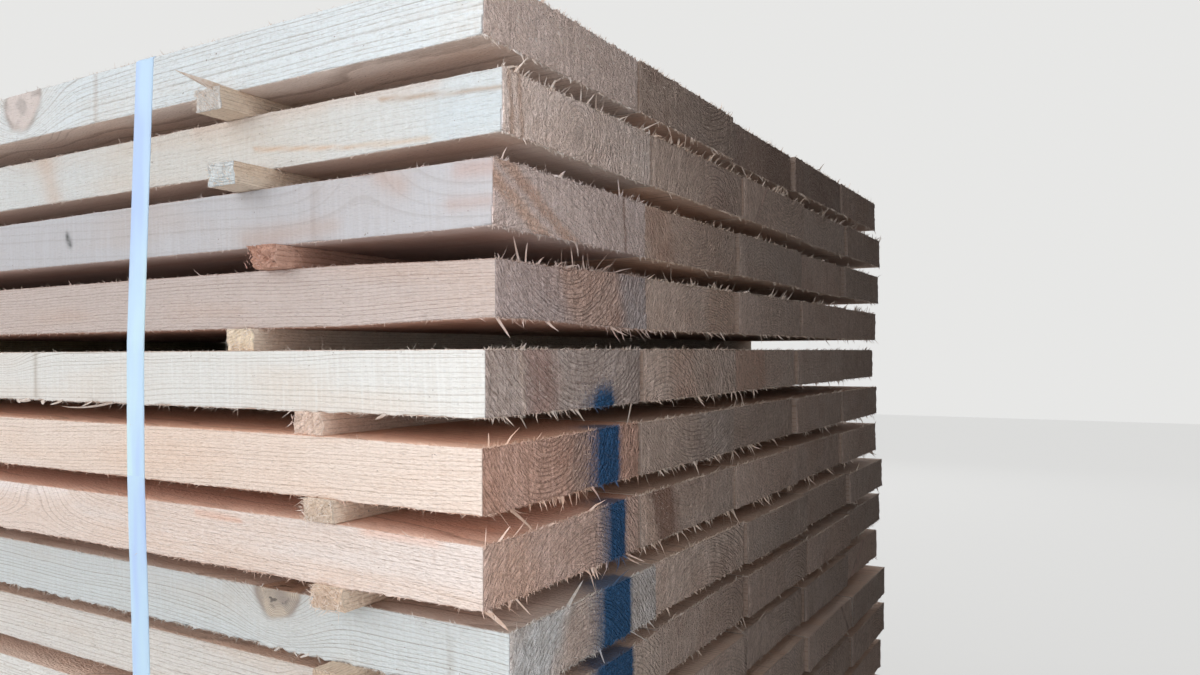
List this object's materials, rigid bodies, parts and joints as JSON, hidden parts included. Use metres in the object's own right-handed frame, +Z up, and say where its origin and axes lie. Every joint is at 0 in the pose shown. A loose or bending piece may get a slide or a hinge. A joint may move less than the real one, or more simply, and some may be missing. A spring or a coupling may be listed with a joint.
{
  "type": "stack of lumber",
  "caption": "Strapped package of rough-sawn softwood boards stacked in layers, with drying laths between the layers.",
  "frame": {"origin": "on the floor, under the middle of the overall box of the package", "axes": "+X along the boards towards the end with the colour mark, -Y the long side seen beside it, +Z up through the layers"},
  "size_m": [3.018, 1.197, 0.96],
  "materials": {
    "board_wood": "rough-sawn, raw",
    "lath_wood": "sawn, raw",
    "strap_band": "smooth, satin"
  },
  "bodies": {
    "root": {"board_layer_01": "board_wood", "board_layer_02": "board_wood", "board_layer_03": "board_wood", "board_layer_04": "board_wood", "board_layer_05": "board_wood", "board_layer_06": "board_wood", "board_layer_07": "board_wood", "board_layer_08": "board_wood", "board_layer_09": "board_wood", "board_layer_10": "board_wood", "board_layer_11": "board_wood", "board_layer_12": "board_wood", "board_layer_13": "board_wood", "board_layer_14": "board_wood", "board_layer_15": "board_wood", "lath_row_1": "lath_wood", "lath_row_2": "lath_wood", "lath_row_3": "lath_wood", "lath_row_4": "lath_wood", "strap_1": "strap_band", "strap_2": "strap_band"}
  },
  "joints": []
}
